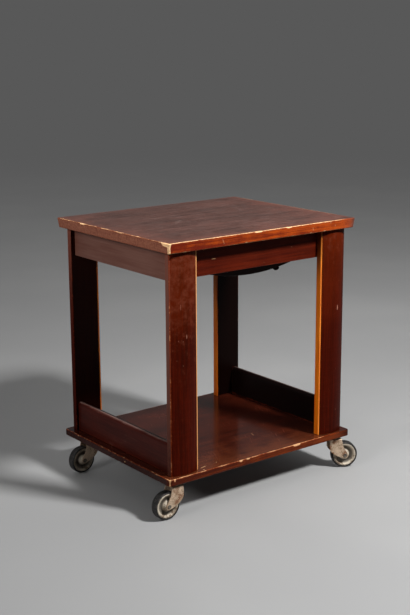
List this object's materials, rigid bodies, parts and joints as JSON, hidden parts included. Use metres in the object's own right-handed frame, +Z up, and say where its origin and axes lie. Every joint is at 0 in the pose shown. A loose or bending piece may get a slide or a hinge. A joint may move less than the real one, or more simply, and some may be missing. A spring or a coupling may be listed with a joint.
{
  "type": "side table on castors",
  "caption": "Low wooden side table with an overhanging top, bowed board legs with pale lippings, a bottom shelf between low side rails, and swivel castors.",
  "frame": {"origin": "on the floor, under the middle of the top", "axes": "+Z up, +X to the right along the front edge, +Y from the front to the back; the front is the side where the bowed rail shows under the apron"},
  "size_m": [0.5507, 0.4226, 0.5739],
  "materials": {
    "stained_wood": "dark reddish-brown stain under worn satin varnish",
    "honey_lipping": "pale honey wood strip, satin varnish",
    "raw_wood": "unfinished softwood",
    "plated_sheet": "pressed sheet steel, dull worn plating",
    "pressed_disc": "pressed steel wheel centre, dull plating",
    "rivet_steel": "plain steel, slightly rusted",
    "tyre_rubber": "black rubber, matt and dusty"
  },
  "bodies": {
    "table": {"top_panel": "stained_wood", "apron_front": "stained_wood", "apron_back": "stained_wood", "apron_left": "stained_wood", "apron_right": "stained_wood", "corner_block_front_left": "raw_wood", "corner_block_front_right": "raw_wood", "corner_block_back_left": "raw_wood", "corner_block_back_right": "raw_wood", "bowed_rail": "stained_wood", "bowed_rail_knob": "stained_wood", "leg_front_left": "stained_wood", "leg_front_right": "stained_wood", "leg_back_left": "stained_wood", "leg_back_right": "stained_wood", "lipping_front_left": "honey_lipping", "lipping_front_right": "honey_lipping", "lipping_back_left": "honey_lipping", "lipping_back_right": "honey_lipping", "side_rail_left": "stained_wood", "side_rail_right": "stained_wood", "shelf": "stained_wood", "castor_plate_front_left": "plated_sheet", "swivel_race_front_left": "rivet_steel", "kingpin_front_left": "rivet_steel", "plate_screw_left_front_left": "rivet_steel", "plate_screw_right_front_left": "rivet_steel", "castor_plate_front_right": "plated_sheet", "swivel_race_front_right": "rivet_steel", "kingpin_front_right": "rivet_steel", "plate_screw_left_front_right": "rivet_steel", "plate_screw_right_front_right": "rivet_steel", "castor_plate_back_left": "plated_sheet", "swivel_race_back_left": "rivet_steel", "kingpin_back_left": "rivet_steel", "plate_screw_left_back_left": "rivet_steel", "plate_screw_right_back_left": "rivet_steel", "castor_plate_back_right": "plated_sheet", "swivel_race_back_right": "rivet_steel", "kingpin_back_right": "rivet_steel", "plate_screw_left_back_right": "rivet_steel", "plate_screw_right_back_right": "rivet_steel"},
    "castor_front_left": {"fork_front_left": "plated_sheet", "axle_front_left": "rivet_steel"},
    "rolling_wheel_front_left": {"wheel_front_left": "pressed_disc", "tyre_front_left": "tyre_rubber"},
    "castor_front_right": {"fork_front_right": "plated_sheet", "axle_front_right": "rivet_steel"},
    "rolling_wheel_front_right": {"wheel_front_right": "pressed_disc", "tyre_front_right": "tyre_rubber"},
    "castor_back_left": {"fork_back_left": "plated_sheet", "axle_back_left": "rivet_steel"},
    "rolling_wheel_back_left": {"wheel_back_left": "pressed_disc", "tyre_back_left": "tyre_rubber"},
    "castor_back_right": {"fork_back_right": "plated_sheet", "axle_back_right": "rivet_steel"},
    "rolling_wheel_back_right": {"wheel_back_right": "pressed_disc", "tyre_back_right": "tyre_rubber"}
  },
  "joints": [
    {"name": "swivel_front_left", "type": "hinge", "parent": "table", "child": "castor_front_left", "pos_m": [-0.224, -0.183, 0.02986], "axis": [0, 0, 1], "continuous": true},
    {"name": "roll_front_left", "type": "hinge", "parent": "castor_front_left", "child": "rolling_wheel_front_left", "pos_m": [-0.247, -0.1826, 0.02986], "axis": [-0.0175, -0.9998, 0], "continuous": true},
    {"name": "swivel_front_right", "type": "hinge", "parent": "table", "child": "castor_front_right", "pos_m": [0.224, -0.183, 0.02986], "axis": [0, 0, 1], "continuous": true},
    {"name": "roll_front_right", "type": "hinge", "parent": "castor_front_right", "child": "rolling_wheel_front_right", "pos_m": [0.24431, -0.1938, 0.02986], "axis": [0.4695, 0.8829, 0], "continuous": true},
    {"name": "swivel_back_left", "type": "hinge", "parent": "table", "child": "castor_back_left", "pos_m": [-0.22, 0.149, 0.02986], "axis": [0, 0, 1], "continuous": true},
    {"name": "roll_back_left", "type": "hinge", "parent": "castor_back_left", "child": "rolling_wheel_back_left", "pos_m": [-0.24297, 0.1478, 0.02986], "axis": [0.0523, -0.9986, 0], "continuous": true},
    {"name": "swivel_back_right", "type": "hinge", "parent": "table", "child": "castor_back_right", "pos_m": [0.22, 0.149, 0.02986], "axis": [0, 0, 1], "continuous": true},
    {"name": "roll_back_right", "type": "hinge", "parent": "castor_back_right", "child": "rolling_wheel_back_right", "pos_m": [0.24297, 0.1478, 0.02986], "axis": [0.0523, 0.9986, 0], "continuous": true}
  ]
}
